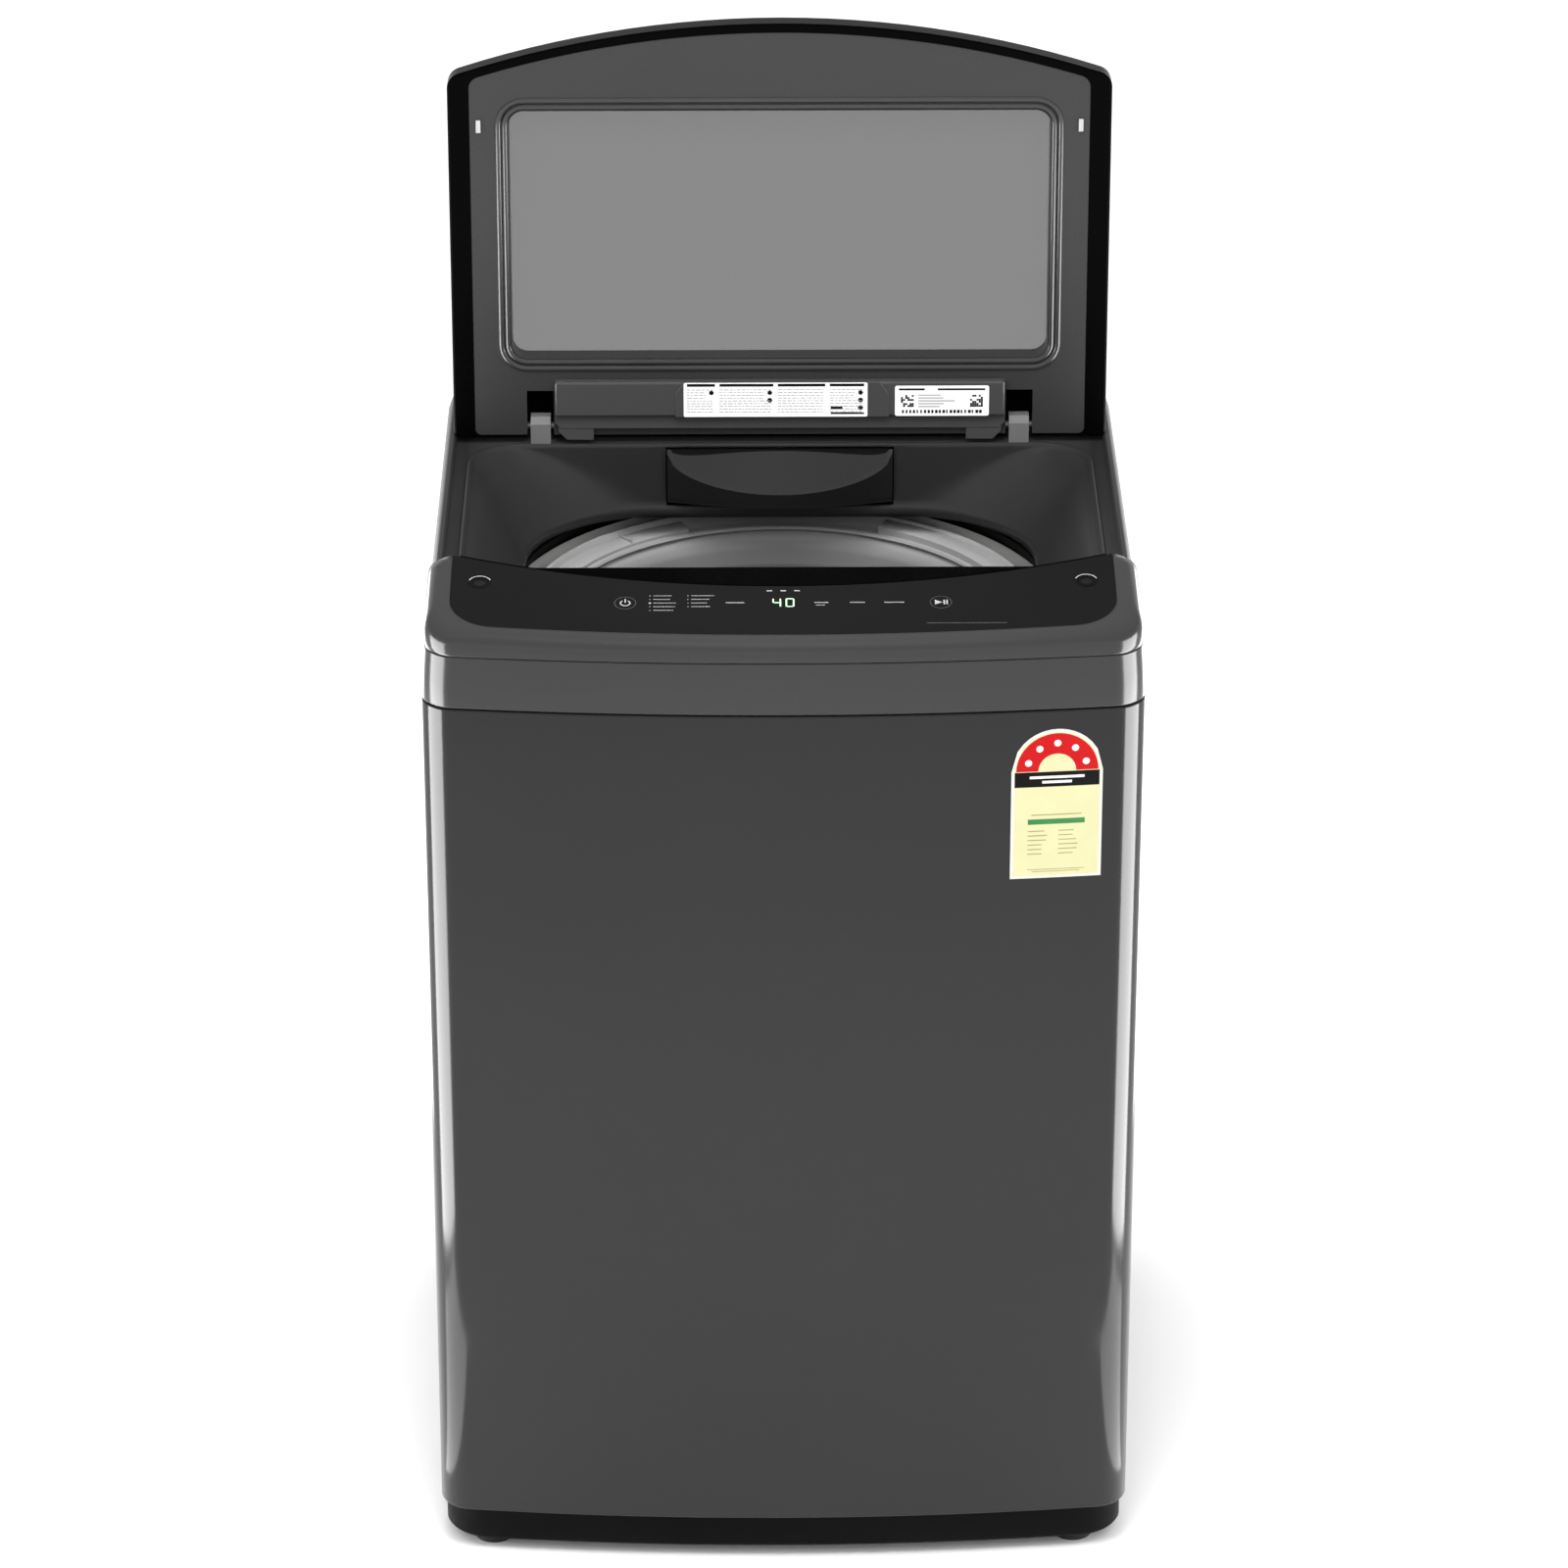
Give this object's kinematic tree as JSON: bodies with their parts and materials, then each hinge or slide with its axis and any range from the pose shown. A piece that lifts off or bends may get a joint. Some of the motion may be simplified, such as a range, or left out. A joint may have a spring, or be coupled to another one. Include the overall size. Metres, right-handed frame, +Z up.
{
  "type": "top load washing machine",
  "caption": "Top load washing machine with a glass lid standing open, a sloped touch panel, a dispenser drawer in the bowl and a hanging tub with its drum and pulsator.",
  "frame": {"origin": "on the floor, in the middle of the footprint, under the drum axis", "axes": "+Z up along the drum axis, -Y to the front, +X to the right seen from the front"},
  "size_m": [0.632, 0.6299, 1.318],
  "materials": {
    "shell_paint": "satin dark grey metallic",
    "cover_plastic": "painted dark grey moulding",
    "bowl_plastic": "dark grey moulding",
    "gloss_black": "gloss black",
    "black_plastic": "matt black",
    "lid_grey": "fine satin grey",
    "smoked_glass": "smoked",
    "stainless": "perforated drum",
    "zinc_steel": "zinc plated",
    "grey_plastic": "light grey moulding",
    "white_plastic": "white moulding",
    "rubber_black": "matt",
    "cast_alloy": "as cast",
    "copper_coils": "lacquered windings",
    "board_green": "circuit board",
    "sticker": "printed film",
    "label_white": "printed film"
  },
  "bodies": {
    "root": {"base_frame": "black_plastic", "cabinet_shell": "shell_paint", "rear_panel": "zinc_steel", "panel_screws": "zinc_steel", "suspension_brackets": "zinc_steel", "suspension_rods": "zinc_steel", "suspension_springs": "zinc_steel", "top_cover": "cover_plastic", "front_bezel": "cover_plastic", "control_panel": "gloss_black", "panel_carrier": "gloss_black", "control_board": "board_green", "display_module": "white_plastic", "panel_bumpers": "rubber_black", "lid_lock": "black_plastic", "rear_cover": "bowl_plastic", "inlet_valve_cold": "white_plastic", "inlet_valve_hot": "white_plastic", "dispenser_housing": "black_plastic", "hinge_bracket_left": "lid_grey", "hinge_bracket_right": "lid_grey", "drain_outlet": "black_plastic", "cord_gland": "rubber_black", "energy_label": "sticker", "levelling_foot_1": "rubber_black", "levelling_foot_2": "rubber_black", "levelling_foot_3": "rubber_black", "levelling_foot_4": "rubber_black"},
    "tub": {"outer_tub": "white_plastic", "tub_cover": "black_plastic", "damper_cups": "white_plastic", "bearing_housing": "cast_alloy", "bearing_upper": "zinc_steel", "bearing_lower": "zinc_steel", "shaft_seal": "rubber_black", "motor_stator": "copper_coils", "drain_valve": "grey_plastic"},
    "drum": {"wash_basket": "stainless", "balance_ring": "grey_plastic", "basket_hub": "cast_alloy", "tube_shaft": "zinc_steel", "lint_filter_left": "grey_plastic", "lint_filter_right": "grey_plastic"},
    "agitator": {"pulsator": "grey_plastic", "pulsator_cap": "grey_plastic", "inner_shaft": "zinc_steel", "motor_rotor": "zinc_steel"},
    "lid": {"lid_frame": "gloss_black", "lid_inner_frame": "lid_grey", "lid_glass": "smoked_glass", "glass_trim": "lid_grey", "hinge_cover": "lid_grey", "hinge_pins": "zinc_steel", "lid_pads": "rubber_black", "info_label": "label_white", "rating_label": "label_white"},
    "drawer": {"drawer_tray": "grey_plastic", "drawer_front": "bowl_plastic"}
  },
  "joints": [
    {"name": "tub_bounce", "type": "slide", "parent": "root", "child": "tub", "axis": [0, 0, 1], "range_m": [-0.02, 0], "stiffness_N_per_m": 30000, "springref_m": 0.018, "deforming": ["suspension_springs"]},
    {"name": "drum_spin", "type": "hinge", "parent": "tub", "child": "drum", "pos_m": [0, 0, 0.27], "axis": [0, 0, 1], "continuous": true},
    {"name": "agitator_spin", "type": "hinge", "parent": "tub", "child": "agitator", "pos_m": [0, 0, 0.27], "axis": [0, 0, 1], "continuous": true},
    {"name": "lid_hinge", "type": "hinge", "parent": "root", "child": "lid", "pos_m": [0, 0.178, 0.93], "axis": [1, 0, 0], "range_deg": [0, 91.5]},
    {"name": "drawer_slide", "type": "slide", "parent": "root", "child": "drawer", "axis": [0, -1, 0], "range_m": [0, 0.11]}
  ]
}
